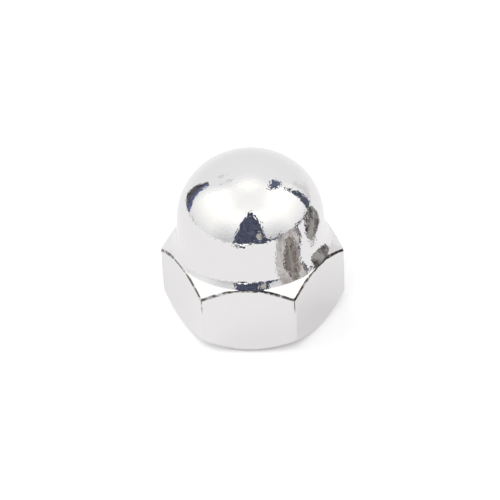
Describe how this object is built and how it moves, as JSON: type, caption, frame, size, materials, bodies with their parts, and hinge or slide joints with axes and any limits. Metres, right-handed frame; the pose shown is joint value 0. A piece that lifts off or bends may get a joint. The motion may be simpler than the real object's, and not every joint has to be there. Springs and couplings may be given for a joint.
{
  "type": "cap nut",
  "caption": "Bright nickel-plated domed cap nut: a chamfered hexagon with a closed rounded head over a blind tapped hole.",
  "frame": {"origin": "centre of the round bearing face underneath, where the nut rests", "axes": "+Z along the thread's axis, from the bearing face up to the top of the dome; two opposite flats of the hexagon face +Y and -Y, and two opposite corners lie on the X axis"},
  "size_m": [0.0184, 0.016, 0.0178],
  "materials": {
    "nickel_plate": "bright nickel plate on cold-formed steel, mirror gloss with fine pits"
  },
  "bodies": {
    "root": {"cap_nut": "nickel_plate"}
  },
  "joints": []
}
